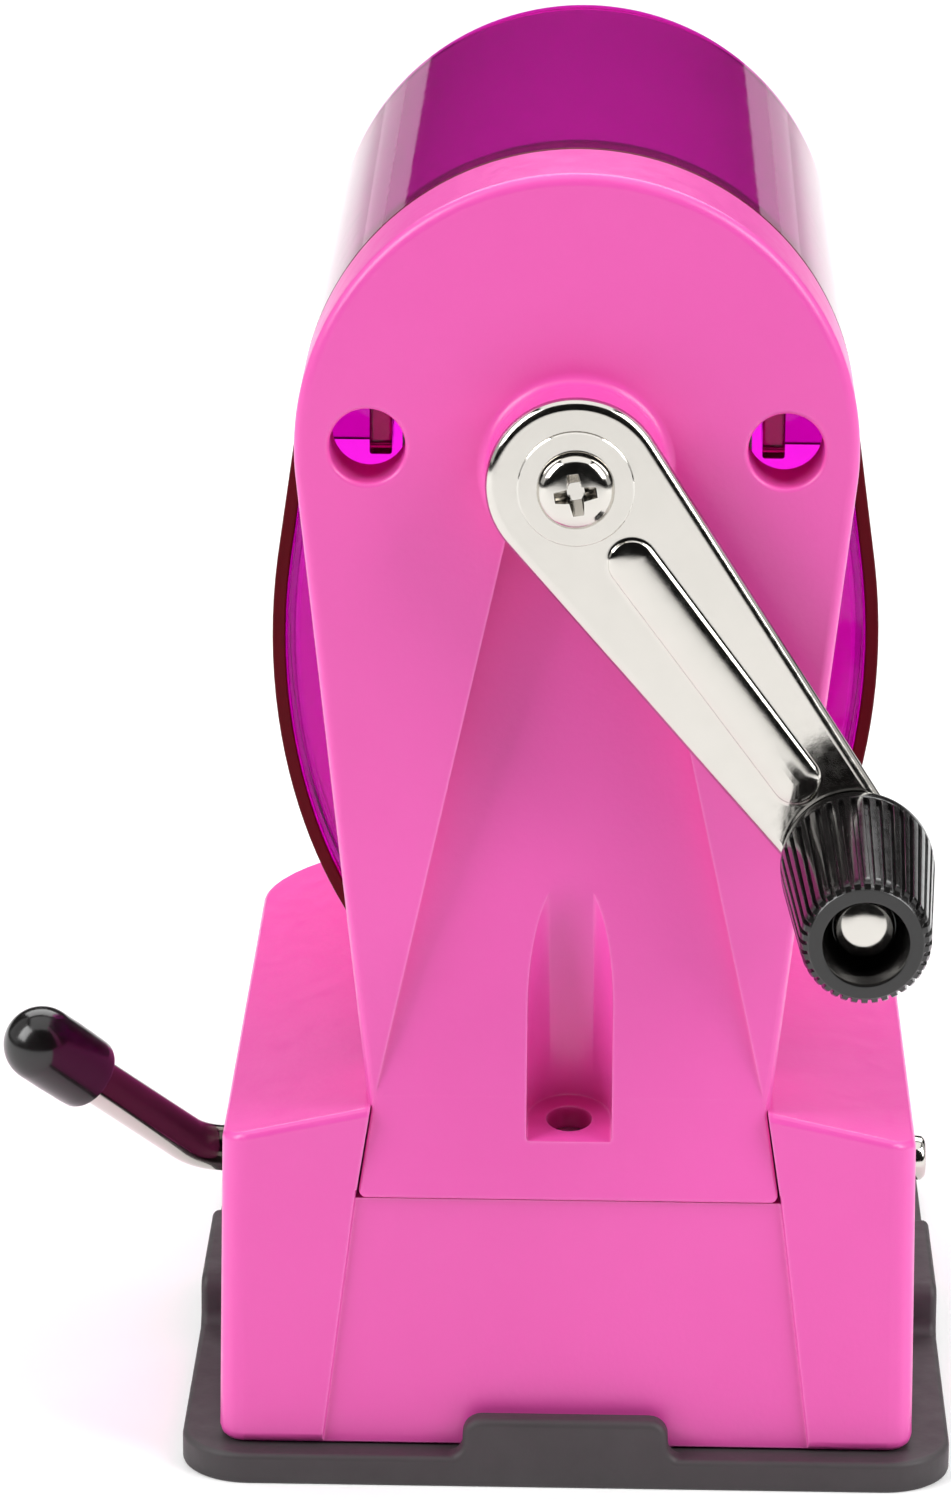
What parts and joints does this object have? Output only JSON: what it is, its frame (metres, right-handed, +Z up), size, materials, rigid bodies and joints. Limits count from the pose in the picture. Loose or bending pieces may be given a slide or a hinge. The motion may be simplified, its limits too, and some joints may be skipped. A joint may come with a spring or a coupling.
{
  "type": "pencil sharpener",
  "caption": "Hand-crank pencil sharpener on a vacuum base: upright column, planetary cutter head, pull-off egg-shaped shavings receptacle, size dial and suction lever.",
  "frame": {"origin": "centre of the pad's underside, on the table", "axes": "+Z up, the crank faces -Y, pencils enter from +Y, the suction lever leaves on -X"},
  "size_m": [0.1123, 0.1452, 0.1529],
  "materials": {
    "pink_plastic": "satin moulded",
    "pad_rubber": "matt",
    "nickel_plate": "polished nickel",
    "plain_steel": "plain",
    "cast_metal": "as cast",
    "cutter_steel": "ground",
    "bush_bronze": "sintered",
    "purple_clear": "clear tinted",
    "black_gloss": "gloss",
    "black_plastic": "satin"
  },
  "bodies": {
    "base": {"suction_pad": "pad_rubber", "base_shell": "pink_plastic", "base_plate": "plain_steel", "base_plate_screws": "plain_steel", "support_column": "pink_plastic", "column_screw": "plain_steel", "shaft_bush": "bush_bronze", "cutter_frame": "cast_metal", "cutter_frame_screws": "plain_steel", "ring_gear": "plain_steel", "stem_guide": "black_plastic"},
    "crank": {"drive_shaft": "nickel_plate", "shaft_clip": "plain_steel", "cutter_carrier": "cast_metal", "cutter_axles": "nickel_plate", "crank_arm": "nickel_plate", "crank_washer": "nickel_plate", "crank_screw": "nickel_plate", "knob_pin": "nickel_plate"},
    "knob": {"crank_knob": "black_gloss"},
    "upper_cutter": {"cutter_a": "cutter_steel", "pinion_a": "nickel_plate"},
    "lower_cutter": {"cutter_b": "cutter_steel", "pinion_b": "nickel_plate"},
    "receptacle": {"receptacle_drum": "purple_clear", "receptacle_back": "purple_clear", "pencil_guide": "purple_clear", "dial_rivet": "nickel_plate", "dial_washer": "plain_steel"},
    "dial": {"selector_dial": "black_plastic"},
    "lever": {"lever_rod": "nickel_plate", "lever_cap": "black_gloss", "lever_clips": "plain_steel", "lever_cam": "plain_steel", "cam_pin": "nickel_plate"},
    "lift": {"lift_stem": "nickel_plate", "lift_plate": "plain_steel", "suction_diaphragm": "pad_rubber"}
  },
  "joints": [
    {"name": "crank_turn", "type": "hinge", "parent": "base", "child": "crank", "pos_m": [0, -0.053, 0.12], "axis": [0, 1, 0], "continuous": true},
    {"name": "knob_spin", "type": "hinge", "parent": "crank", "child": "knob", "pos_m": [0.0315, -0.0554, 0.07775], "axis": [0, 1, 0], "continuous": true},
    {"name": "upper_cutter_spin", "type": "hinge", "parent": "crank", "child": "upper_cutter", "pos_m": [0, -0.022, 0.1261], "axis": [0, 0.9833, 0.1822], "continuous": true},
    {"name": "lower_cutter_spin", "type": "hinge", "parent": "crank", "child": "lower_cutter", "pos_m": [0, -0.022, 0.1139], "axis": [0, 0.9833, -0.1822], "continuous": true},
    {"name": "receptacle_pull", "type": "slide", "parent": "base", "child": "receptacle", "axis": [0, 1, 0], "range_m": [0, 0.06]},
    {"name": "dial_turn", "type": "hinge", "parent": "receptacle", "child": "dial", "pos_m": [0, 0.0584, 0.107], "axis": [0, 1, 0], "continuous": true},
    {"name": "lever_turn", "type": "hinge", "parent": "base", "child": "lever", "pos_m": [0, 0, 0.0215], "axis": [-1, 0, 0], "range_deg": [0, 100]},
    {"name": "lift_slide", "type": "slide", "parent": "base", "child": "lift", "axis": [0, 0, 1], "range_m": [0, 0.003]}
  ],
  "couplings": [
    {"joint": "upper_cutter_spin", "follows": "crank_turn", "ratio": -3.3333},
    {"joint": "lower_cutter_spin", "follows": "crank_turn", "ratio": -3.3333},
    {"joint": "lever_turn", "follows": "lift_slide", "rad_per_m": 581.77}
  ]
}
